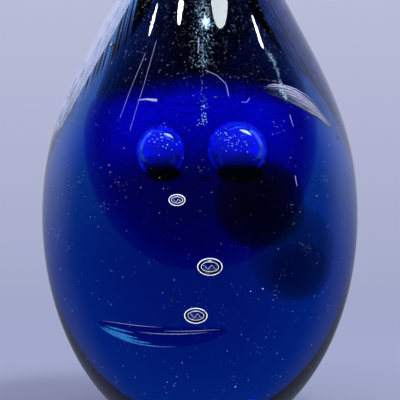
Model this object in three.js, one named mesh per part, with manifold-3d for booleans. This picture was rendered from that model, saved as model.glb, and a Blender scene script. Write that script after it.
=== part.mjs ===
// A teardrop paperweight of hand-worked glass, in millimetres, +Z up.
// The origin is the centre of the ground base. A clear casing forms the whole outside. Under it lies a blue
// overlay that rises as a sleeve towards the tip. Inside the overlay a cobalt core stands on a thin stem,
// smoky glass fills the sleeve above the core, and a smoky wisp hangs beside it. Air trapped between the
// gathers makes the bubbles. The base is ground flat through casing, overlay and stem.
import * as THREE from "three";
import { mergeVertices } from "three/addons/utils/BufferGeometryUtils.js";
import Module from "manifold-3d";

const wasm = await Module();
wasm.setup();

// ---------------------------------------------------------------- driving dimensions
const HEIGHT = 135; // base to tip
const WIDEST_RADIUS = 38; // the body measures 76 across
const WIDEST_HEIGHT = 49; // how high the widest place lies
const LOWER_RISE = 54.8; // semi-axis of the ellipse below the widest place
const BASE_RADIUS = 17; // flat ground base, before its bevel
const BASE_BEVEL = 0.6;
const TIP_RADIUS = 4.5; // rounding of the pulled tip
const TIP_LEAN = 26; // degrees that the cone below the tip leans in
const GAP = 0.3; // clearance between one piece of glass and the next

const BLUE_RADIUS = 31; // the overlay, at its widest
const BLUE_HEIGHT = 40;
const BLUE_BASE_RADIUS = 13;
const SLEEVE_TOP = 114;

const CORE_RADIUS = 19;
const CORE_HEIGHT = 66; // where the core is widest
const CORE_LOW = 39; // where its bowl meets the stem
const RIM_RADIUS = 17.8; // the core's upper edge
const RIM_HEIGHT = 77;
const STEM_RADIUS = 2.5;

const NECK_FOOT_RADIUS = 17.4; // the smoky neck, where it stands on the core
const NECK_RADIUS = 7.4; // and where its rounded end begins
const NECK_HEIGHT = 104;
const NECK_TOP = 110.5;

const AROUND = 40; // facets round each gather

// ---------------------------------------------------------------- outlines (x = radius, y = height)

// Adds the quarter of an ellipse from height 0 up to its widest place.
function lowerQuarter(path, radius, height, rise, steps) {
  const start = -Math.asin(height / rise);
  path.push(...new THREE.EllipseCurve(0, height, radius, rise, start, 0).getPoints(steps));
}

// Adds a cubic curve that goes on from the path's last point; controls are given as [radius, height].
function flank(path, controls, steps) {
  const points = controls.map(([radius, height]) => new THREE.Vector2(radius, height));
  const curve = new THREE.CubicBezierCurve(path[path.length - 1].clone(), ...points);
  path.push(...curve.getPoints(steps).slice(1));
}

// The outside of the casing, from the rim of the ground base up to the tip.
function casingOutline() {
  const path = [new THREE.Vector2(BASE_RADIUS - BASE_BEVEL, 0)];
  const lower = [];
  lowerQuarter(lower, WIDEST_RADIUS, WIDEST_HEIGHT, LOWER_RISE, 11);
  lower[0].set(BASE_RADIUS + BASE_BEVEL / 2, BASE_BEVEL);
  path.push(...lower);
  const lean = THREE.MathUtils.degToRad(TIP_LEAN);
  const tip = [TIP_RADIUS * Math.cos(lean), HEIGHT - TIP_RADIUS * (1 - Math.sin(lean))];
  flank(path, [[WIDEST_RADIUS, 77.8], [25.2, 88.6], tip], 12);
  const cap = new THREE.EllipseCurve(0, HEIGHT - TIP_RADIUS, TIP_RADIUS, TIP_RADIUS, lean, Math.PI / 2);
  path.push(...cap.getPoints(4).slice(1, -1), new THREE.Vector2(0, HEIGHT));
  return path;
}

// The outside of the overlay, grown outward by a clearance.
function overlayOutline(grow) {
  const path = [];
  const radius = BLUE_RADIUS + grow;
  const rise = BLUE_HEIGHT / Math.sqrt(1 - ((BLUE_BASE_RADIUS + grow) / radius) ** 2);
  lowerQuarter(path, radius, BLUE_HEIGHT, rise, 8);
  flank(path, [[radius, 44], [10.4 + grow, SLEEVE_TOP - 1.7], [4.4 + grow, SLEEVE_TOP - 1.5 + grow]], 13);
  flank(path, [[2.9, SLEEVE_TOP - 0.6 + grow], [1.4, SLEEVE_TOP + grow], [0, SLEEVE_TOP + grow]], 3);
  return path;
}

// The core's stem and bowl, from the base up to its upper edge, grown outward by a clearance.
function coreOutline(grow) {
  const stem = STEM_RADIUS + grow;
  const radius = CORE_RADIUS + grow;
  const path = [new THREE.Vector2(stem, 0), new THREE.Vector2(stem, CORE_LOW - grow)];
  flank(path, [[10 + grow, CORE_LOW - grow], [radius, 50], [radius, CORE_HEIGHT]], 8);
  flank(path, [[radius, 70], [RIM_RADIUS + 0.6 + grow, 74], [RIM_RADIUS + grow, RIM_HEIGHT + grow]], 3);
  return path;
}

// The smoky neck from its foot to its rounded end, grown outward by a clearance.
function neckOutline(grow) {
  const radius = NECK_RADIUS + grow;
  const path = [new THREE.Vector2(NECK_FOOT_RADIUS + grow, RIM_HEIGHT + GAP)];
  flank(path, [[14.8 + grow, 86.5], [10.2 + grow, 97.5], [radius, NECK_HEIGHT]], 8);
  flank(path, [[radius - 1.4, 107.5], [3.5, NECK_TOP + grow], [0, NECK_TOP + grow]], 5);
  return path;
}

// ---------------------------------------------------------------- solids

// Turns an outline round the Z axis.
function turned(outline) {
  const geometry = new THREE.LatheGeometry(outline, AROUND);
  return geometry.rotateX(Math.PI / 2);
}

// A geometry as a manifold-3d solid.
function solid(geometry) {
  const bare = geometry.index ? geometry.toNonIndexed() : geometry.clone();
  bare.deleteAttribute("normal");
  bare.deleteAttribute("uv");
  const merged = mergeVertices(bare, 1e-4);
  return new wasm.Manifold(
    new wasm.Mesh({
      numProp: 3,
      vertProperties: merged.attributes.position.array,
      triVerts: new Uint32Array(merged.index.array),
    }),
  );
}

// A manifold-3d solid as a geometry.
function surface(made) {
  const mesh = made.getMesh();
  const geometry = new THREE.BufferGeometry();
  geometry.setAttribute("position", new THREE.BufferAttribute(mesh.vertProperties, 3));
  geometry.setIndex(new THREE.BufferAttribute(mesh.triVerts, 1));
  geometry.computeVertexNormals();
  return geometry;
}

// An egg-shaped body about its own centre; size holds its three half-widths.
function egg(size, around, grow) {
  const rings = Math.round(around * 0.6);
  const ball = new THREE.SphereGeometry(1, around, rings);
  return ball.scale(...size.map((half) => half + grow));
}

// A gather with a dimple for each piece that is pressed into it.
function dimpled(geometry, pressed) {
  let body = solid(geometry);
  for (const piece of pressed) {
    const dimple = piece.shape(GAP).translate(...piece.at);
    body = body.subtract(solid(dimple));
  }
  return surface(body);
}

// Radius of an outline at a height.
function radiusAt(outline, height) {
  const above = outline.findIndex((point) => point.y >= height);
  const high = outline[above];
  const low = outline[above - 1];
  return low.x + ((high.x - low.x) * (height - low.y)) / (high.y - low.y);
}

// A point at a height on a circle of the given radius; x places it left (-) or right of the front.
function onFront(radius, x, height) {
  return [x, -Math.sqrt(radius ** 2 - x ** 2), height];
}

// ---------------------------------------------------------------- trapped air

const overlayOutside = overlayOutline(GAP / 2);

// Pressed into the core with a spike, then covered by the overlay.
const PRESSED_RADIUS = 16.6; // how far from the axis their centres lie
const PRESSED = [
  { name: "large_bubble_left", x: -7.5, height: 64.2, size: [4.7, 4.4, 5.5] },
  { name: "large_bubble_right", x: 7.1, height: 64.7, size: [5.8, 5.0, 6.0] },
].map(({ name, x, height, size }) => ({
  name,
  at: onFront(PRESSED_RADIUS, x, height),
  shape: (grow) => egg(size, 16, grow),
}));

// Pricked into the overlay, then covered by the casing, so most of each lies in the casing.
const PROUD = 0.6; // share of a bubble's depth that its centre stands proud of the overlay
const PRICKED = [
  { name: "small_bubble_upper", x: -4.7, height: 55, size: [1.7, 1.2, 1.2] },
  { name: "small_bubble_middle", x: 2.1, height: 40.8, size: [2.7, 1.9, 1.9] },
  { name: "small_bubble_lower", x: -0.9, height: 29.9, size: [2.5, 1.7, 1.75] },
].map(({ name, x, height, size }) => ({
  name,
  at: onFront(radiusAt(overlayOutside, height) + PROUD * size[1], x, height),
  shape: (grow) => egg(size, 12, grow),
}));

// Seed bubbles between overlay and casing: a spiral at the golden angle spreads them evenly.
const SEED_COUNT = 18;
const SEED_LOW = 9;
const SEED_HIGH = 106;
const GOLDEN_ANGLE = Math.PI * (3 - Math.sqrt(5));
const SEED_PHASE = 1.2; // turns the whole spiral, to keep it clear of the larger bubbles
const SEEDS = Array.from({ length: SEED_COUNT }, (_, i) => {
  const height = SEED_LOW + ((SEED_HIGH - SEED_LOW) * (i + 0.5)) / SEED_COUNT;
  const angle = SEED_PHASE + i * GOLDEN_ANGLE;
  const radius = radiusAt(overlayOutside, height);
  const half = 0.55 + 0.12 * (i % 3);
  return {
    name: `seed_bubble_${String(i + 1).padStart(2, "0")}`,
    at: [radius * Math.cos(angle), radius * Math.sin(angle), height],
    shape: (grow) => egg([half, half, half], 6, grow),
  };
});

// A crescent film of air along the overlay's surface: a ball whose poles are its two pointed ends, bent
// round the axis. Its middle line climbs by tilt from middle to end and rises by bow at both ends.
function film({ angle, span, height, tilt, bow, halfWidth, halfDepth }, grow) {
  const ball = new THREE.SphereGeometry(1, 10, 14);
  const place = ball.attributes.position;
  const point = new THREE.Vector3();
  const middle = THREE.MathUtils.degToRad(angle);
  const half = THREE.MathUtils.degToRad(span / 2);
  for (let i = 0; i < place.count; i += 1) {
    point.fromBufferAttribute(place, i);
    const line = height + tilt * point.y + bow * point.y ** 2;
    const z = line + point.z * (halfWidth + grow);
    const radius = radiusAt(overlayOutside, z) + point.x * (halfDepth + grow);
    const turn = middle + point.y * (half + grow / radius);
    place.setXYZ(i, radius * Math.cos(turn), radius * Math.sin(turn), z);
  }
  return ball;
}

// angle (of the middle) and span are in degrees; -90 is the front.
const FILMS = [
  {
    name: "fold_bubble", // low on the left front
    angle: -108, span: 58, height: 24.9, tilt: -0.35, bow: 1.85, halfWidth: 2.4, halfDepth: 0.8,
  },
  {
    name: "shoulder_bubble", // on the right shoulder
    angle: -26, span: 52, height: 75, tilt: -5, bow: -2, halfWidth: 2.1, halfDepth: 0.6,
  },
].map(({ name, ...sizes }) => ({
  name,
  at: [0, 0, 0],
  shape: (grow) => film(sizes, grow),
}));

// ---------------------------------------------------------------- glass

// The wisp: a lobe in the core and a larger one below it in the overlay, melted into one.
const WISP_LOBES = [
  { at: [9, 1, 52], size: [7.6, 5.8, 9.2] },
  { at: [15, 1, 42], size: [8, 6, 10.8] },
];

function wispShape(grow) {
  const [upper, lower] = WISP_LOBES.map(({ at, size }) => solid(egg(size, 14, grow).translate(...at)));
  return surface(upper.add(lower));
}

const WISP = { name: "smoke_wisp", at: [0, 0, 0], shape: wispShape };

function clearCasing() {
  const cavity = overlayOutline(GAP).reverse();
  return dimpled(turned([...cavity, ...casingOutline()]), [...PRICKED, ...SEEDS, ...FILMS]);
}

function blueOverlay() {
  const inside = [...coreOutline(GAP), ...neckOutline(GAP)];
  const outside = overlayOutline(0).reverse();
  const profile = [...inside, ...outside, inside[0].clone()].reverse();
  return dimpled(turned(profile), [...PRESSED, ...PRICKED, ...SEEDS, ...FILMS, WISP]);
}

function cobaltCore() {
  const profile = [new THREE.Vector2(0, 0), ...coreOutline(0), new THREE.Vector2(0, RIM_HEIGHT)];
  return dimpled(turned(profile), [...PRESSED, WISP]);
}

function smokyNeck() {
  return turned([new THREE.Vector2(0, RIM_HEIGHT + GAP), ...neckOutline(0)]);
}

// ---------------------------------------------------------------- scene graph

const CLEAR = { color: 0xe6eaf4, roughness: 0.02, metalness: 0, transparent: true, opacity: 0.35 };
const BLUE = { color: 0x0a2a8c, roughness: 0.05, metalness: 0 };
const COBALT = { color: 0x0414a0, roughness: 0.05, metalness: 0 };
const SMOKE = { color: 0x0a1222, roughness: 0.05, metalness: 0 };
const AIR = { color: 0xc9d2f2, roughness: 0.02, metalness: 0 };

function piece(name, geometry, look) {
  const mesh = new THREE.Mesh(geometry, new THREE.MeshStandardMaterial(look));
  mesh.name = name;
  return mesh;
}

const glass = new THREE.Group();
glass.add(piece("clear_casing", clearCasing(), CLEAR));
glass.add(piece("blue_overlay", blueOverlay(), BLUE));
glass.add(piece("cobalt_core", cobaltCore(), COBALT));
glass.add(piece("smoke_neck", smokyNeck(), SMOKE));
glass.add(piece(WISP.name, WISP.shape(0), SMOKE));

const air = new THREE.Group();
for (const bubble of [...PRESSED, ...PRICKED, ...SEEDS, ...FILMS]) {
  const mesh = piece(bubble.name, bubble.shape(0), AIR);
  mesh.position.set(...bubble.at);
  air.add(mesh);
}

const group = new THREE.Group();
group.add(glass, air);
export default group;
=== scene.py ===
"""Looks of the teardrop glass paperweight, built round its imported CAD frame. Lengths are in metres."""

import math
import random

import bpy
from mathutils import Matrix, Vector, noise

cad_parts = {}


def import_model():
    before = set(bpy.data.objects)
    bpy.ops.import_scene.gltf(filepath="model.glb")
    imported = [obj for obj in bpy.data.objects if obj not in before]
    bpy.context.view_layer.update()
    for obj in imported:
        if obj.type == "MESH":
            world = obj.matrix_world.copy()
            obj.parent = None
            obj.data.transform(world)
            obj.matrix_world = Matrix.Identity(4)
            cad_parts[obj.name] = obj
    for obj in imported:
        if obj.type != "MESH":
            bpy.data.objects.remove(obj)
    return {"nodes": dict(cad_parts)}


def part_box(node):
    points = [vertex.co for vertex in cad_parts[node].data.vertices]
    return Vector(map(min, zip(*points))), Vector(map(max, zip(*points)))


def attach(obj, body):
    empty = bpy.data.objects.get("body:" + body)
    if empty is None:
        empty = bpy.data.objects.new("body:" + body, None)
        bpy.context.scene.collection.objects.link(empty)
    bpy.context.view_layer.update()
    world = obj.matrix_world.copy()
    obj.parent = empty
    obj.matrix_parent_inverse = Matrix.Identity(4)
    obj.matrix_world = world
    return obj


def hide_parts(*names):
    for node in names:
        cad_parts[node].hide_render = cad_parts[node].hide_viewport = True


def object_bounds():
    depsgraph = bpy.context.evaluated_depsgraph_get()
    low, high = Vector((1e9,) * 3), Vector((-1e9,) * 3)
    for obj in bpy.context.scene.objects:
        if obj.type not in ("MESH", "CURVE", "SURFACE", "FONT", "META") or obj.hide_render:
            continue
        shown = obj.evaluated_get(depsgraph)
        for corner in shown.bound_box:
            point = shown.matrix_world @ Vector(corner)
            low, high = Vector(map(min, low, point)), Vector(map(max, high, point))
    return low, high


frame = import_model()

cad_lo, cad_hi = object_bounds()
MM = 0.001
FRONT = -90  # degrees round the Z axis; 0 is the right-hand side

# ------------------------------------------------------------------ driving dimensions

HEIGHT = cad_hi.z
WIDEST_RADIUS = cad_hi.x
WIDEST_HEIGHT = 49 * MM
LOWER_RISE = 54.8 * MM
BASE_RADIUS = 17 * MM
BASE_BEVEL = 0.6 * MM
TIP_RADIUS = 4.5 * MM
TIP_LEAN = math.radians(26)

BLUE_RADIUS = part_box("blue_overlay")[1][0]
BLUE_HEIGHT = 40 * MM
BLUE_BASE_RADIUS = 13 * MM
SLEEVE_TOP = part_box("blue_overlay")[1][2]
FOOT_CLEAR = 1.2 * MM  # clear glass left under the blue at the base

CORE_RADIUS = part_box("cobalt_core")[1][0]
CORE_HEIGHT = 66 * MM
CORE_LOW = 39 * MM
CORE_DEPTH = 0.9  # the glass grows darker inside this share of the core
RIM_RADIUS = 17.8 * MM
RIM_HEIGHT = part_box("cobalt_core")[1][2]
RIM_DROP = 5 * MM  # how far the core's upper edge falls from its front and back to its sides

NECK_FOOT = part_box("smoke_neck")[0][2]
NECK_FOOT_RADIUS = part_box("smoke_neck")[1][0]
NECK_RADIUS = 7.4 * MM
NECK_HEIGHT = 104 * MM
NECK_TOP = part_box("smoke_neck")[1][2]

# angle and span in degrees, then height, tilt and bow in millimetres
FOLD = (-108, 58, 24.9, -0.35, 1.85)
SHOULDER = (-26, 52, 75, -5, -2)

LEAN = 0.6 * MM  # the sleeve stands this far right of the axis above the shoulder

AROUND = 144

GLOW_LOW = 59.5 * MM  # the large bubbles' painted glow rises from here up
GLOW_HIGH = 69 * MM

# ------------------------------------------------------------------ mesh helpers


def mesh_object(name, verts, faces, smooth=True):
    mesh = bpy.data.meshes.new(name)
    mesh.from_pydata(verts, [], faces)
    mesh.validate()
    mesh.polygons.foreach_set("use_smooth", [smooth] * len(mesh.polygons))
    obj = bpy.data.objects.new(name, mesh)
    bpy.context.scene.collection.objects.link(obj)
    return obj


def cubic(p0, p1, p2, p3, steps):
    """Points along a cubic curve, without its first."""
    out = []
    for i in range(1, steps + 1):
        t = i / steps
        s = 1 - t
        weights = (s**3, 3 * s * s * t, 3 * s * t * t, t**3)
        out.append(tuple(sum(w * v for w, v in zip(weights, axis)) for axis in zip(p0, p1, p2, p3)))
    return out


def arc(centre, rx, rz, start, end, steps):
    """Points along an ellipse in the outline plane, first and last included."""
    turn = [start + (end - start) * i / steps for i in range(steps + 1)]
    return [(centre[0] + rx * math.cos(a), centre[1] + rz * math.sin(a)) for a in turn]


def lathe(name, outline, bend=None, around=AROUND):
    """Turns an outline that starts and ends on the axis; bend moves each point a little."""
    verts, faces, rings = [], [], []
    for r, z in outline:
        ring = []
        for k in range(1 if r < 1e-7 else around):
            angle = 2 * math.pi * k / around
            point = Vector((r * math.cos(angle), r * math.sin(angle), z))
            ring.append(len(verts))
            verts.append(bend(point, angle) if bend else point)
        rings.append(ring)
    for low, high in zip(rings, rings[1:]):
        for k in range(around):
            n = (k + 1) % around
            if len(low) == 1:
                faces.append((low[0], high[n], high[k]))
            elif len(high) == 1:
                faces.append((low[k], low[n], high[0]))
            else:
                faces.append((low[k], low[n], high[n], high[k]))
    return mesh_object(name, verts, faces)


def unit_ball(name, bend, around=40):
    """A ball of radius 1 whose every point is moved by bend; its poles lie on Z."""
    outline = arc((0, 0), 1, 1, -math.pi / 2, math.pi / 2, around // 2)
    outline[0], outline[-1] = (0, -1), (0, 1)
    return lathe(name, outline, bend, around)


def bubble(name, centre, size, wobble=0.0, around=40):
    """An egg-shaped bubble with a slightly uneven skin, which never swells past its size."""
    def bend(p, _angle):
        swell = 1 - wobble * (0.5 + 0.5 * noise.noise(p * 1.3 + Vector(centre) * 300))
        return Vector(centre) + Vector((p.x * size[0], p.y * size[1], p.z * size[2])) * swell

    return unit_ball(name, bend, around)


def grains(name, spots, rng):
    """Many tiny grains as one mesh: each spot is a centre and a half size."""
    verts, faces = [], []
    corners = [Vector(c) for c in ((1, 1, 1), (1, -1, -1), (-1, 1, -1), (-1, -1, 1))]
    for centre, size in spots:
        start = len(verts)
        turn = Vector([rng.uniform(-1, 1) for _ in range(3)])
        for corner in corners:
            verts.append(centre + (corner + corner.cross(turn) * 0.6).normalized() * size)
        faces += [tuple(start + i for i in side) for side in ((0, 1, 2), (0, 3, 1), (0, 2, 3), (1, 3, 2))]
    return mesh_object(name, verts, faces, smooth=False)


def thread(name, points, radii, around=8):
    """A fine round thread through the points, with a radius at each."""
    return mesh_object(name, *thread_parts(points, radii, around))


def bundle(name, lines, around=6):
    """Several threads as one mesh; each line is its points and its radii."""
    verts, faces = [], []
    for points, radii in lines:
        more, sides = thread_parts(points, radii, around)
        faces += [tuple(len(verts) + i for i in side) for side in sides]
        verts += more
    return mesh_object(name, verts, faces)


def thread_parts(points, radii, around):
    verts, faces = [], []
    for i, point in enumerate(points):
        along = (points[min(i + 1, len(points) - 1)] - points[max(i - 1, 0)]).normalized()
        side = along.orthogonal().normalized()
        other = along.cross(side)
        for k in range(around):
            a = 2 * math.pi * k / around
            verts.append(point + (side * math.cos(a) + other * math.sin(a)) * radii[i])
    for i in range(len(points) - 1):
        for k in range(around):
            n = (k + 1) % around
            low, high = i * around, (i + 1) * around
            faces.append((low + k, low + n, high + n, high + k))
    faces.append(tuple(reversed(range(around))))
    faces.append(tuple(range(len(verts) - around, len(verts))))
    return verts, faces


# ------------------------------------------------------------------ outlines


def casing_outline():
    start = -math.asin((WIDEST_HEIGHT - BASE_BEVEL) / LOWER_RISE)
    lower = arc((0, WIDEST_HEIGHT), WIDEST_RADIUS, LOWER_RISE, start, 0, 60)
    tip = (TIP_RADIUS * math.cos(TIP_LEAN), HEIGHT - TIP_RADIUS * (1 - math.sin(TIP_LEAN)))
    flank = cubic(lower[-1], (WIDEST_RADIUS, 77.8 * MM), (25.2 * MM, 88.6 * MM), tip, 70)
    cap = arc((0, HEIGHT - TIP_RADIUS), TIP_RADIUS, TIP_RADIUS, TIP_LEAN, math.pi / 2, 12)[1:-1]
    foot = BASE_RADIUS - BASE_BEVEL
    base = [(0, 0), (foot * 0.5, 0), (foot * 0.95, 0), (foot, 0), (foot + BASE_BEVEL * 0.6, BASE_BEVEL * 0.3)]
    return base + lower + flank + cap + [(0, HEIGHT)]


CASING = casing_outline()


def overlay_outline():
    rise = BLUE_HEIGHT / math.sqrt(1 - (BLUE_BASE_RADIUS / BLUE_RADIUS) ** 2)
    start = -math.asin((BLUE_HEIGHT - FOOT_CLEAR) / rise)
    path = arc((0, BLUE_HEIGHT), BLUE_RADIUS, rise, start, 0, 40)
    path += cubic(path[-1], (BLUE_RADIUS, 44 * MM), (10.4 * MM, SLEEVE_TOP - 1.7 * MM),
                  (4.4 * MM, SLEEVE_TOP - 1.5 * MM), 60)
    path += cubic(path[-1], (2.9 * MM, SLEEVE_TOP - 0.6 * MM), (1.4 * MM, SLEEVE_TOP), (0, SLEEVE_TOP), 8)
    return path


OVERLAY = overlay_outline()


def overlay_radius(z):
    for low, high in zip(OVERLAY, OVERLAY[1:]):
        if low[1] <= z <= high[1]:
            return low[0] + (high[0] - low[0]) * (z - low[1]) / (high[1] - low[1])
    return OVERLAY[0][0]


def leaned(point):
    """A point moved with the sleeve's lean."""
    share = min(1.0, max(0.0, (point.z - 58 * MM) / (34 * MM)))
    return point + Vector((LEAN * share * share * (3 - 2 * share), 0, 0))


def on_overlay(angle, z, proud=0.0):
    """A point on the overlay's outside at an angle in degrees, or proud of it by a distance."""
    r = overlay_radius(z) + proud
    turn = math.radians(angle)
    return leaned(Vector((r * math.cos(turn), r * math.sin(turn), z)))


# ------------------------------------------------------------------ materials


def new_material(name):
    mat = bpy.data.materials.new(name)
    mat.use_nodes = True
    tree = mat.node_tree
    tree.nodes.clear()
    out = tree.nodes.new("ShaderNodeOutputMaterial")
    shader = tree.nodes.new("ShaderNodeBsdfPrincipled")
    tree.links.new(shader.outputs[0], out.inputs["Surface"])
    return mat, tree, shader, out


def noise_texture(tree, scale, detail=3.0):
    place = tree.nodes.new("ShaderNodeTexCoord")
    texture = tree.nodes.new("ShaderNodeTexNoise")
    texture.inputs["Scale"].default_value = scale
    texture.inputs["Detail"].default_value = detail
    tree.links.new(place.outputs["Object"], texture.inputs["Vector"])
    return texture.outputs["Fac"]


def remap(tree, value, a, b, c, d, smooth=False):
    made = tree.nodes.new("ShaderNodeMapRange")
    made.interpolation_type = "SMOOTHSTEP" if smooth else "LINEAR"
    for key, v in zip(("From Min", "From Max", "To Min", "To Max"), (a, b, c, d)):
        made.inputs[key].default_value = v
    tree.links.new(value, made.inputs["Value"])
    return made.outputs["Result"]


def combine(tree, operation, a, b):
    """One arithmetic step on a value and a second value or a number."""
    made = tree.nodes.new("ShaderNodeMath")
    made.operation = operation
    tree.links.new(a, made.inputs[0])
    if isinstance(b, (int, float)):
        made.inputs[1].default_value = b
    else:
        tree.links.new(b, made.inputs[1])
    return made.outputs[0]


def mix_colour(tree, factor, a, b):
    made = tree.nodes.new("ShaderNodeMix")
    made.data_type = "RGBA"
    tree.links.new(factor, made.inputs[0])
    made.inputs[6].default_value = a
    made.inputs[7].default_value = b
    return made.outputs[2]


def crystal():
    mat, tree, shader, _ = new_material("crystal")
    shader.inputs["Transmission Weight"].default_value = 1.0
    shader.inputs["IOR"].default_value = 1.5
    smear = noise_texture(tree, 60, 4)
    tree.links.new(remap(tree, smear, 0.55, 0.8, 0.0, 0.03), shader.inputs["Roughness"])
    shader.inputs["Base Color"].default_value = (1, 1, 1, 1)
    return mat


def tinted(name, absorbed):
    """Glass fused into its neighbours, so it bends no light; absorbed is per metre for red, green, blue."""
    mat, tree, shader, out = new_material(name)
    shader.inputs["Transmission Weight"].default_value = 1.0
    shader.inputs["IOR"].default_value = 1.0
    shader.inputs["Roughness"].default_value = 0.0
    shader.inputs["Base Color"].default_value = (1, 1, 1, 1)
    volume = tree.nodes.new("ShaderNodeVolumeAbsorption")
    density = max(absorbed)
    volume.inputs["Color"].default_value = (*(1 - a / density for a in absorbed), 1)
    volume.inputs["Density"].default_value = density
    tree.links.new(volume.outputs[0], out.inputs["Volume"])
    return mat


def trapped_air(name, tint=(1, 1, 1, 1), glow=0.0, ior=1 / 1.5):
    """Air in the glass; a tinted skin may line it, and a painted glow may light it, brightest near its top.
    """
    mat, tree, shader, _ = new_material(name)
    shader.inputs["Transmission Weight"].default_value = 1.0
    shader.inputs["IOR"].default_value = ior
    shader.inputs["Roughness"].default_value = 0.0
    shader.inputs["Base Color"].default_value = tint
    shader.inputs["Specular Tint"].default_value = tint
    # painted glow, brightest at the top: the emission runs from near black low down to the tint high up
    if glow:
        place = tree.nodes.new("ShaderNodeTexCoord")
        split = tree.nodes.new("ShaderNodeSeparateXYZ")
        tree.links.new(place.outputs["Object"], split.inputs[0])
        rise = remap(tree, split.outputs["Z"], GLOW_LOW, GLOW_HIGH, 0, 1, True)
        tree.links.new(mix_colour(tree, rise, (0, 0, 0.02, 1), tint), shader.inputs["Emission Color"])
        shader.inputs["Emission Strength"].default_value = glow
    return mat


def glinting(name, low, high, glow, grain=3000):
    """Bright grains inside the glass, lit by a painted glow that stands in for the glints they would catch.
    """
    mat, tree, shader, _ = new_material(name)
    colour = mix_colour(tree, remap(tree, noise_texture(tree, grain, 1), 0.35, 0.65, 0, 1), low, high)
    tree.links.new(colour, shader.inputs["Base Color"])
    tree.links.new(colour, shader.inputs["Emission Color"])
    # painted glints: the grains give off light of their own
    shader.inputs["Emission Strength"].default_value = glow
    shader.inputs["Roughness"].default_value = 0.3
    return mat


CRYSTAL = crystal()
BLUE = tinted("blue_glass", (140, 71, 25))
COBALT = tinted("cobalt", (106, 133, 14))
COBALT_SKIN = tinted("cobalt_skin", (450, 300, 10))
# painted shade: near-black glass put as a cap under the front of each large bubble
SHADE = tinted("painted_shade_cobalt", (1300, 1300, 900))
SMOKE = tinted("smoke_glass", (130, 130, 95))
HEART = tinted("smoke_heart_glass", (160, 130, 105))
WISP = tinted("smoke_wisp_glass", (40, 60, 72))
DARK_WISP = tinted("dark_wisp_glass", (130, 130, 210))
AIR = trapped_air("trapped_air")
# the large bubbles' air carries a painted blue glow
BLUE_AIR = trapped_air("trapped_air_in_cobalt_painted_glow", (0.02, 0.03, 1, 1), 0.5)
FOLD_AIR = trapped_air("trapped_air_in_fold", (0.15, 0.35, 0.8, 1), 0.0, 0.88)
# the materials below all give off light: painted glints on seed, dust and flecks, painted highlights on
# threads, streaks, rings and glints, painted light in the strings
SPECK = glinting("painted_glint_seed_speck", (0.25, 0.32, 0.9, 1), (0.9, 0.93, 1, 1), 0.5)
SILVER = glinting("painted_sparkle_silver_dust", (0.05, 0.30, 0.50, 1), (0.75, 0.95, 1, 1), 0.9)
PALE = glinting("painted_glow_pale_thread", (0.45, 0.45, 0.75, 1), (0.85, 0.85, 1, 1), 0.3)
SKY = glinting("painted_highlight_blue_streak", (0.01, 0.12, 0.45, 1), (0.05, 0.35, 0.8, 1), 0.5)
GLINT = glinting("white_glint", (0.75, 0.8, 1, 1), (1, 1, 1, 1), 1.1)
RING = glinting("painted_light_blue_ring", (0.0, 0.0, 0.5, 1), (0.02, 0.03, 1, 1), 0.7, 900)
STRING = glinting("painted_light_silver_string", (0.40, 0.44, 0.60, 1), (0.50, 0.54, 0.72, 1), 0.8, 400)
BLUE_STRING = glinting("painted_light_blue_string", (0.003, 0.02, 0.14, 1), (0.01, 0.05, 0.26, 1), 0.8, 400)
VIOLET = glinting("painted_glint_violet_speck", (0.15, 0.05, 0.8, 1), (0.4, 0.2, 1, 1), 0.5)


def add(obj, material, slot, *nodes):
    obj.data.materials.append(material)
    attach(obj, "root")
    if nodes:
        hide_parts(*nodes)
    return obj


# ------------------------------------------------------------------ glass


def casing():
    def dent(p, _angle):
        """Small inward dents, as a worked surface has; the ground base stays flat."""
        depth = 0.12 * MM * (0.5 + 0.5 * noise.noise(p * 28 + Vector((3, 0, 0))))
        flat = min(1.0, max(0.0, p.z / (4 * MM)))
        pull = 1 - depth * flat / max(math.hypot(p.x, p.y), 8 * MM)
        return Vector((p.x * pull, p.y * pull, p.z))

    add(lathe("casing", casing_outline(), dent), CRYSTAL, "crystal", "clear_casing")


def overlay():
    foot = [(0, FOOT_CLEAR), (5 * MM, FOOT_CLEAR)]
    sleeve = lathe("overlay", foot + OVERLAY, lambda p, _angle: leaned(p))
    add(sleeve, BLUE, "blue_glass", "blue_overlay")


def core():
    """A bowl whose upper edge arches up at its front and back."""
    path = [(0, CORE_LOW), (2 * MM, CORE_LOW)]
    path += cubic(path[-1], (10 * MM, CORE_LOW), (CORE_RADIUS, 50 * MM), (CORE_RADIUS, CORE_HEIGHT), 30)
    path += cubic(path[-1], (CORE_RADIUS, 70 * MM), (RIM_RADIUS + 0.6 * MM, 74 * MM),
                  (RIM_RADIUS, RIM_HEIGHT - 0.4 * MM), 12)
    path += [(RIM_RADIUS - 0.5 * MM, RIM_HEIGHT), (12 * MM, RIM_HEIGHT - 0.2 * MM),
             (0, RIM_HEIGHT - 0.4 * MM)]

    def arch(p, angle):
        share = max(0.0, (p.z - CORE_HEIGHT) / (RIM_HEIGHT - CORE_HEIGHT))
        side = math.sqrt(math.cos(angle) ** 2 + 0.02) * math.hypot(p.x, p.y) / RIM_RADIUS
        return leaned(Vector((p.x, p.y, p.z - RIM_DROP * side * share)))

    add(lathe("core", path, arch), COBALT, "cobalt", "cobalt_core")
    deep = [(r * CORE_DEPTH, z if z >= CORE_HEIGHT else CORE_HEIGHT + (z - CORE_HEIGHT) * CORE_DEPTH)
            for r, z in path]
    add(lathe("core_depth", deep, arch), COBALT, "cobalt")


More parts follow.
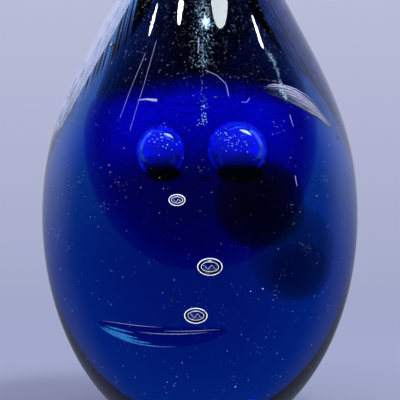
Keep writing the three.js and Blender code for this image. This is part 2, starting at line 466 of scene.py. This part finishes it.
def neck():
    """Smoky glass with the upright folds that pulling leaves in it."""
    path = [(0, NECK_FOOT), (NECK_FOOT_RADIUS * 0.5, NECK_FOOT), (NECK_FOOT_RADIUS, NECK_FOOT)]
    path += cubic(path[-1], (14.8 * MM, 86.5 * MM), (10.2 * MM, 97.5 * MM), (NECK_RADIUS, NECK_HEIGHT), 30)
    path += cubic(path[-1], (NECK_RADIUS - 1.4 * MM, 107.5 * MM), (3.5 * MM, NECK_TOP), (0, NECK_TOP), 16)

    def settle(p, angle):
        """The foot lies on the core's arched edge; shallow folds run upward."""
        foot = max(0.0, 1 - (p.z - NECK_FOOT) / (9 * MM))
        side = math.sqrt(math.cos(angle) ** 2 + 0.02) * math.hypot(p.x, p.y) / NECK_FOOT_RADIUS
        pull = 1 - 0.03 * (1 + math.cos(5 * angle + 0.6)) * (1 - foot)
        return leaned(Vector((p.x * pull, p.y * pull, p.z - RIM_DROP * side * foot)))

    add(lathe("neck", path, settle), SMOKE, "smoke_glass", "smoke_neck")

    heart = [(0, 79 * MM), (4 * MM, 79.5 * MM)]
    heart += cubic(heart[-1], (7 * MM, 84 * MM), (10 * MM, 89 * MM), (10.6 * MM, 94 * MM), 30)
    heart += cubic(heart[-1], (10.6 * MM, 99 * MM), (5 * MM, 108 * MM), (0, 108 * MM), 30)

    def fold(p, angle):
        pull = 1 - 0.10 * (1 + math.cos(5 * angle + 0.6)) - 0.05 * (1 + math.cos(11 * angle + 2))
        return leaned(Vector((p.x * pull, p.y * pull, p.z)))

    add(lathe("neck_heart", heart, fold), HEART, "smoke_glass")


def wisp():
    """A dark lobe in the core, melted into a larger one below it in the overlay, with a heart of its own."""
    lobes = (  # name, centre, half size, glass and the CAD node it stands for
        ("wisp_lobe_1", (9.6, 1, 52), (7.9, 5.8, 9.5), DARK_WISP, ["smoke_wisp"]),
        ("wisp_lobe_2", (15, 1, 42), (7.8, 5.8, 10.5), WISP, []),
        ("wisp_heart", (16.3, 1, 38.4), (5.6, 4.6, 6.2), WISP, []),
    )
    for name, centre, size, material, nodes in lobes:
        lobe = bubble(name, [v * MM for v in centre], [v * MM for v in size], 0.1, 60)
        add(lobe, material, "smoke_glass", *nodes)


casing()
overlay()
core()
neck()
wisp()

# ------------------------------------------------------------------ trapped air


def box_middle(name):
    lo, hi = (Vector(corner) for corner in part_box(name))
    return (lo + hi) / 2, (hi - lo) / 2


def rim(name, centre, size):
    """A painted bright rim round a small bubble, and a painted curl of light in front of it."""
    hoop, curl = [], []
    for i in range(41):
        a = 2 * math.pi * i / 40
        hoop.append(centre + Vector((size.x * math.cos(a), 0, size.z * math.sin(a))) * 0.97)
    for i in range(17):
        t = i / 8 - 1
        curl.append(centre + Vector((size.x * 0.5 * t, -size.y * 1.02, size.z * 0.22 * math.sin(5 * t))))
    add(thread(name + "_painted_rim", hoop, [0.12 * MM] * 41), GLINT, "air_pocket")
    add(thread(name + "_painted_curl", curl, [0.06 * MM] * 17), SPECK, "air_pocket")


def glow_ring(name, centre, size):
    """A painted blue ring of light round a large bubble, thicker towards its top, and a painted white glint
    at its upper right.
    """
    ring, radii, glint = [], [], []
    for i in range(49):
        a = 2 * math.pi * i / 48
        x, z = math.cos(a), math.sin(a)
        ring.append(centre + Vector((size.x * 0.94 * x, -0.35 * size.y, size.z * 0.94 * z)))
        uneven = noise.noise(Vector((3 * x, 3 * z, centre.x * 900)))
        # the painted ring of light thickens towards its top
        radii.append((0.14 + 0.10 * z + 0.08 * uneven) * MM)
    for i in range(13):
        a = math.radians(48 + 34 * i / 12)
        offset = Vector((0.74 * size.x * math.cos(a), -0.76 * size.y, 0.74 * size.z * math.sin(a)))
        glint.append(centre + offset)
    glint_radii = [0.05 * size.x * math.sin(math.pi * (i + 0.5) / 13) for i in range(13)]
    add(thread(name + "_ring", ring, radii), RING, "air_pocket")
    add(thread(name + "_glint", glint, glint_radii), GLINT, "air_pocket")


def bubbles():
    """Every pocket of air. A large one has a cobalt skin, a painted glow, and a dark cap of painted shade
    below its front.
    """
    for name in sorted(frame["nodes"]):
        if name.startswith(("large_bubble", "small_bubble")):
            centre, size = box_middle(name)
            air = BLUE_AIR if name.startswith("large") else AIR
            add(bubble(name + "_air", centre, size, 0.06), air, "air_pocket", name)
            if air == BLUE_AIR:
                skin = bubble(name + "_skin", centre, size + Vector((1, 1, 1)) * MM)
                add(skin, COBALT_SKIN, "cobalt")
                # a cap of painted shade under the bubble's front
                low = centre + Vector((0.1 * size.x, -0.55 * size.y, -0.78 * size.z))
                shade = bubble(name + "_shade", low, (size.x * 0.85, size.y * 0.8, size.z * 0.38), 0.25)
                add(shade, SHADE, "cobalt")
                glow_ring(name, centre, size)
            else:
                rim(name, centre, size)
        elif name.startswith("seed_bubble"):
            centre, size = box_middle(name)
            add(bubble(name + "_air", centre, size * 0.8, 0.2, 16), AIR, "air_pocket", name)


def film(name, node, air, angle, span, height, tilt, bow, half_width, half_depth, ripple):
    """A crescent film of air along the overlay; angle and span are in degrees, the rest in millimetres."""
    def bend(p, _angle):
        along, across, deep = p.z, -p.y, p.x
        wave = ripple * noise.noise(Vector((along * 1.5, across * 6, deep)) + Vector((height, 0, 0)))
        z = (height + tilt * along + bow * along**2 + across * half_width) * MM
        return on_overlay(angle + along * span / 2, z, (deep * half_depth + wave) * MM)

    add(unit_ball(name, bend, 60), air, "air_pocket", node)


bubbles()
film("fold_air", "fold_bubble", FOLD_AIR, *FOLD, 2.4, 0.6, 0.15)
film("shoulder_air", "shoulder_bubble", AIR, *SHOULDER, 2.1, 0.45, 0.12)

# ------------------------------------------------------------------ specks, dust and threads


def specks(rng):
    """Fine seed in the casing just over the overlay, some of it gathered in small clusters."""
    spots = []
    for _ in range(1500):
        z = rng.uniform(5, 108) * MM
        spots.append((on_overlay(rng.uniform(0, 360), z, rng.uniform(0.1, 2) * MM),
                      rng.choice((0.05, 0.06, 0.06, 0.08, 0.12)) * MM))
    for _ in range(260):
        spots.append((on_overlay(FRONT + rng.uniform(-60, 60), rng.uniform(79, 101) * MM, 0.3 * MM),
                      rng.choice((0.06, 0.08, 0.12)) * MM))
    for _ in range(24):
        middle = on_overlay(rng.uniform(0, 360), rng.uniform(15, 70) * MM, 0.6 * MM)
        for _ in range(rng.randint(6, 16)):
            offset = Vector([rng.gauss(0, 1.2 * MM) for _ in range(3)])
            spots.append((middle + offset * 0.6, rng.uniform(0.04, 0.08) * MM))
    add(grains("seed_specks", spots, rng), SPECK, "air_pocket")


def painted_sparkle_silver_dust(rng):
    """Silver leaf broken to dust in the sleeve, glowing with painted sparkle: a dense column at the front,
    thinner all round.
    """
    spots = []
    for _ in range(900):
        z = 112 * MM - abs(rng.gauss(0, 12)) * MM
        if z < 80 * MM:
            continue
        angle = FRONT + rng.gauss(0, 12)
        spots.append((on_overlay(angle, z, -rng.uniform(0.3, 2.5) * MM), rng.uniform(0.03, 0.08) * MM))
    for _ in range(700):
        z = rng.uniform(87, 111) * MM
        spots.append((on_overlay(rng.uniform(0, 360), z, -rng.uniform(0.3, 4) * MM),
                      rng.uniform(0.03, 0.07) * MM))
    for _ in range(800):
        z = rng.uniform(83, 112) * MM
        spots.append((on_overlay(FRONT + rng.gauss(0, 4), z, -rng.uniform(0, 0.8) * MM),
                      rng.choice((0.04, 0.06, 0.09, 0.15)) * MM))
    add(grains("painted_sparkle_silver_dust", spots, rng), SILVER, "smoke_glass")


def bead_line(rng, route, count, spread, size):
    """Beads strung along straight stretches between (angle, z) stops."""
    spots = []
    for _ in range(count):
        t = rng.uniform(0, len(route) - 1)
        i = min(int(t), len(route) - 2)
        angle = route[i][0] + (route[i + 1][0] - route[i][0]) * (t - i)
        z = route[i][1] + (route[i + 1][1] - route[i][1]) * (t - i)
        spots.append((on_overlay(angle + rng.gauss(0, spread), (z + rng.gauss(0, spread / 3)) * MM, 0.3 * MM),
                      rng.uniform(*size) * MM))
    return spots


def bead_lines(rng):
    shoulder_line = [(-43, 87), (-39, 84), (-39, 79), (-38, 75.6)]
    spots = bead_line(rng, shoulder_line, 240, 0.9, (0.05, 0.12))
    spots += bead_line(rng, [(-40, 78), (-37, 75)], 60, 1.6, (0.05, 0.12))
    spots += bead_line(rng, [(FRONT, 92), (FRONT, 78)], 60, 0.4, (0.05, 0.09))
    spots += bead_line(rng, [(-89, 76.5), (-88, 73), (-90, 70.5)], 70, 1.2, (0.05, 0.12))
    spots += bead_line(rng, [(-87, 93), (-87, 94.5)], 120, 1.8, (0.08, 0.22))
    spots += bead_line(rng, [(-113, 68.5), (-105, 66)], 36, 3, (0.06, 0.14))
    spots += bead_line(rng, [(-80, 68.5), (-68, 66)], 44, 3, (0.06, 0.14))
    add(grains("bead_lines", spots, rng), SILVER, "smoke_glass")


def threads():
    """Pale hair-fine threads; each is a list of (angle, z) stops and its radii at start and end."""
    routes = {
        "thread_long": ([(-130, 86.2), (-133, 78.9), (-135, 71.6)], 0.04, 0.03),
        "thread_longer": ([(-124, 89.1), (-125, 79), (-127, 69.1)], 0.04, 0.025),
        "thread_hair": ([(-88, 82.5), (-81, 81.3), (-76, 79.4), (-75, 76.7)], 0.05, 0.06),
        "thread_hook": ([(-68, 75.4), (-65, 75.3), (-63, 76.2)], 0.05, 0.06),
        "thread_front": ([(-93, 90), (-93, 86.4)], 0.09, 0.06),
        "thread_shoulder": ([(-39, 72.2), (-38.5, 69.7)], 0.08, 0.05),
        "thread_flank": ([(-44, 59.5), (-44, 57.3)], 0.08, 0.05),
        # painted glint: a tapered glowing thread where light lies along the wedge's edge
        "painted_glint_wedge": ([(-127, 75.6), (-121, 75.9), (-115, 75.7)], 0.03, 0.35),
    }
    for name, (stops, start, end) in routes.items():
        points, radii = [], []
        steps = 12
        for i, (low, high) in enumerate(zip(stops, stops[1:])):
            for k in range(steps + (i == len(stops) - 2)):
                t = k / steps
                share = (i + t) / (len(stops) - 1)
                angle = low[0] + (high[0] - low[0]) * t
                z = (low[1] + (high[1] - low[1]) * t) * MM
                points.append(on_overlay(angle, z, 0.6 * MM))
                radii.append((start + (end - start) * share) * MM)
        add(thread(name, points, radii), PALE, "air_pocket")


def star():
    """A painted star-shaped highlight among the dust: a few fine glowing rays."""
    middle = on_overlay(-88, 93.7 * MM, 0.6 * MM)
    for i, (angle, length) in enumerate(((10, 1.0), (55, 1.5), (95, 2.3), (140, 1.2), (170, 0.8))):
        ray = Vector((math.cos(math.radians(angle)), 0, math.sin(math.radians(angle)))) * length * MM
        points = [middle + ray * (k / 4 - 1) for k in range(9)]
        add(thread(f"painted_star_ray_{i + 1}", points, [(0.13 - 0.03 * abs(k - 4)) * MM for k in range(9)]),
            GLINT, "air_pocket")


def strays(rng):
    """Single larger flecks: white ones and violet ones, as (angle, z, half size)."""
    white = [(-175, 20.1, 0.45), (-172, 19.3, 0.3), (-72, 12.8, 0.25), (-103, 13.2, 0.2), (-65, 35.6, 0.25),
             (-70, 35.2, 0.2), (-158, 38.4, 0.15)]
    violet = [(rng.gauss(-88, 8), rng.gauss(33, 4), rng.uniform(0.05, 0.11)) for _ in range(70)]
    violet += [(180, 26.3, 0.35), (-3, 25, 0.35), (-98, 18.9, 0.25), (-60, 33, 0.25), (-50, 30, 0.2)]
    for name, spots, material in (("white_flecks", white, SPECK), ("violet_flecks", violet, VIOLET)):
        placed = [(on_overlay(angle, z * MM, 0.6 * MM), size * MM) for angle, z, size in spots]
        add(grains(name, placed, rng), material, "air_pocket")


def streaks():
    """Painted highlights along the two films, drawn as glowing threads."""
    def follow(angle, span, height, tilt, bow, across, start, end):
        points = []
        for i in range(31):
            t = start + (end - start) * i / 30
            z = height + tilt * t + bow * t * t + across * math.sqrt(max(0.0, 1 - t * t))
            points.append(on_overlay(angle + t * span / 2, z * MM, 0.75 * MM))
        return points

    def swell(largest):
        return [largest * math.sin(math.pi * (i + 0.5) / 31) * MM for i in range(31)]

    # each row: how far across the film, where along it the streak starts and ends, and its largest radius
    fold_streaks = [(-2.3, -1, 0.3, 0.16), (-1.7, -0.95, -0.1, 0.30), (-0.9, -0.9, -0.3, 0.34),
                    (0.3, -0.85, -0.35, 0.2)]
    fold_lines = [(2.2, -0.9, 0.1, 0.05), (0.7, -0.3, 0.75, 0.07), (1.4, 0.1, 0.9, 0.05)]
    shoulder_streaks = [(2.0, -1, 0.6, 0.12), (1.4, -0.95, 0.2, 0.20), (0.7, -0.8, 0.5, 0.14),
                        (0.0, -0.6, 0.8, 0.12), (-0.8, -0.3, 0.9, 0.10), (-1.6, 0.1, 0.95, 0.08)]
    for name, route, rows, material in (("fold_streak", FOLD, fold_streaks, SKY),
                                        ("fold_line", FOLD, fold_lines, PALE),
                                        ("shoulder_streak", SHOULDER, shoulder_streaks, PALE)):
        for i, (across, start, end, largest) in enumerate(rows):
            streak = thread(f"{name}_{i + 1}", follow(*route, across, start, end), swell(largest))
            add(streak, material, "air_pocket")


def casing_radius(z):
    for low, high in zip(CASING, CASING[1:]):
        if low[1] <= z <= high[1]:
            return low[0] + (high[0] - low[0]) * (z - low[1]) / (high[1] - low[1])
    return 0.0


def strings(name, material, rng, side, share, middle, half, count):
    """Fine glowing strings up one flank, in the casing, painted light that gives the flank its tone: side is
    -1 for the left and 1 for the right.
    """
    def place(up, across, proud):
        z = (92 + 30 * up) * MM
        width = max(1e-4, 1 - up * up) ** 0.35
        turn = math.radians(middle + (92 * MM - z) / MM * 0.45 + half * width * across)
        r = share * casing_radius(min(z + 4.5 * MM, HEIGHT - 0.1 * MM)) + proud
        return Vector((side * r * math.sin(turn), -r * math.cos(turn), z))

    lines = []
    for i in range(count):
        across = -1 + 2 * (i + rng.uniform(-0.4, 0.4)) / (count - 1)
        top = rng.uniform(0.4, 0.75)
        low = rng.uniform(-0.98, -0.7)
        proud = rng.uniform(-0.3, 0) * MM
        width = rng.uniform(0.035, 0.06) * MM
        points = [place(low + (top - low) * k / 30, across, proud) for k in range(31)]
        lines.append((points, [width * math.sin(math.pi * (k + 0.7) / 31.4) ** 0.4 for k in range(31)]))
    add(bundle(name, lines), material, "air_pocket")


strings("left_painted_light_strings", STRING, random.Random(11), -1, 0.68, 115, 36, 90)
strings("right_painted_light_strings", BLUE_STRING, random.Random(12), 1, 0.80, 90, 36, 90)

dice = random.Random(7)
specks(dice)
painted_sparkle_silver_dust(dice)
bead_lines(dice)
threads()
star()
streaks()
strays(dice)

# ------------------------------------------------------------------ stage, light and camera


def floor():
    """A pale floor that fades into the backdrop."""
    side = 1.2
    corners = [(-side, -side, 0), (side, -side, 0), (side, side, 0), (-side, side, 0)]
    obj = mesh_object("floor", corners, [(0, 1, 2, 3)], smooth=False)
    mat, tree, shader, out = new_material("pale_floor")
    shader.inputs["Base Color"].default_value = (0.355, 0.37, 0.48, 1)
    shader.inputs["Roughness"].default_value = 0.9
    shader.inputs["Specular IOR Level"].default_value = 0.0
    place = tree.nodes.new("ShaderNodeTexCoord")
    length = tree.nodes.new("ShaderNodeVectorMath")
    length.operation = "LENGTH"
    tree.links.new(place.outputs["Object"], length.inputs[0])
    fade = remap(tree, length.outputs["Value"], 0.08, 0.35, 0, 1, True)
    clear = tree.nodes.new("ShaderNodeBsdfTransparent")
    mix = tree.nodes.new("ShaderNodeMixShader")
    tree.links.new(fade, mix.inputs[0])
    tree.links.new(shader.outputs[0], mix.inputs[1])
    tree.links.new(clear.outputs[0], mix.inputs[2])
    tree.links.new(mix.outputs[0], out.inputs["Surface"])
    obj.data.materials.append(mat)
    obj.visible_glossy = False


def world():
    """A pale lavender sweep. What the glass mirrors from in front and below is dark, and a pool of blue
    light low down shows only through the glass."""
    made = bpy.data.worlds.new("studio")
    bpy.context.scene.world = made
    made.use_nodes = True
    tree = made.node_tree
    tree.nodes.clear()
    place = tree.nodes.new("ShaderNodeTexCoord")
    split = tree.nodes.new("ShaderNodeSeparateXYZ")
    tree.links.new(place.outputs["Generated"], split.inputs[0])
    rise = remap(tree, split.outputs["Z"], -0.25, 0.15, 0, 1, True)
    sweep = mix_colour(tree, rise, (0.34, 0.37, 0.56, 1), (0.51, 0.53, 0.72, 1))
    behind = remap(tree, split.outputs["Y"], 0.1, 0.65, 0.03, 1, True)
    above = remap(tree, split.outputs["Z"], -0.3, 0.1, 0.4, 1, True)
    mirrored = combine(tree, "MULTIPLY", behind, above)
    path = tree.nodes.new("ShaderNodeLightPath")
    straight = combine(tree, "LESS_THAN", path.outputs["Glossy Depth"], 0.5)
    strength = combine(tree, "MAXIMUM", straight, mirrored)
    back = tree.nodes.new("ShaderNodeBackground")
    tree.links.new(sweep, back.inputs["Color"])
    tree.links.new(strength, back.inputs["Strength"])

    low = remap(tree, split.outputs["Z"], -0.15, -0.36, 0, 1, True)
    near = remap(tree, split.outputs["Z"], -0.46, -0.39, 0, 1, True)
    aside = combine(tree, "ABSOLUTE", split.outputs["X"], 0)
    ahead = remap(tree, aside, 0.22, 0.5, 1, 0.08, True)
    glow = low
    for factor in (near, ahead, straight, path.outputs["Is Transmission Ray"]):
        glow = combine(tree, "MULTIPLY", glow, factor)
    pool = tree.nodes.new("ShaderNodeBackground")
    pool.inputs["Color"].default_value = (0.1, 0.1, 6, 1)
    tree.links.new(glow, pool.inputs["Strength"])
    both = tree.nodes.new("ShaderNodeAddShader")
    tree.links.new(back.outputs[0], both.inputs[0])
    tree.links.new(pool.outputs[0], both.inputs[1])
    out = tree.nodes.new("ShaderNodeOutputWorld")
    tree.links.new(both.outputs[0], out.inputs["Surface"])


def softbox(name, direction, distance, size, power, colour=(1, 1, 1)):
    data = bpy.data.lights.new(name, "AREA")
    data.shape = "ELLIPSE"
    data.size, data.size_y = size
    data.energy = power
    data.color = colour
    obj = bpy.data.objects.new(name, data)
    bpy.context.scene.collection.objects.link(obj)
    aim = Vector((0, 0, 90 * MM))
    obj.location = aim + Vector(direction).normalized() * distance
    obj.rotation_mode = "QUATERNION"
    obj.rotation_quaternion = (aim - obj.location).to_track_quat("-Z", "Y")
    obj.visible_camera = False


def lights():
    softbox("strip_left", (-0.632, -0.200, 0.749), 0.8, (0.042, 0.034), 0.15, (1, 0.92, 0.95))
    softbox("strip_front", (-0.306, -0.444, 0.842), 0.8, (0.07, 0.045), 0.36)
    softbox("strip_right", (0.706, -0.103, 0.701), 0.8, (0.035, 0.05), 0.3, (1, 0.90, 0.80))
    softbox("window", (0.344, -0.328, 0.880), 0.8, (0.37, 0.185), 3.0, (0.85, 0.95, 1))
    softbox("overhead", (0.0, 0.5, 1.0), 1.2, (1.0, 0.8), 4)


def camera():
    data = bpy.data.cameras.new("camera")
    data.sensor_width = 36
    data.lens = 150
    frame_width = 96.6 * MM  # what the picture spans at the object
    distance = data.lens / data.sensor_width * frame_width
    lift = math.radians(4)
    aim = Vector((0, 0, 53.1 * MM))
    obj = bpy.data.objects.new("camera", data)
    bpy.context.scene.collection.objects.link(obj)
    obj.location = aim + Vector((0, -math.cos(lift), math.sin(lift))) * distance
    obj.rotation_mode = "QUATERNION"
    obj.rotation_quaternion = (aim - obj.location).to_track_quat("-Z", "Y")
    data.clip_start, data.clip_end = 0.01, 20
    bpy.context.scene.camera = obj


floor()
world()
lights()
camera()
bpy.context.scene.view_settings.view_transform = "Standard"
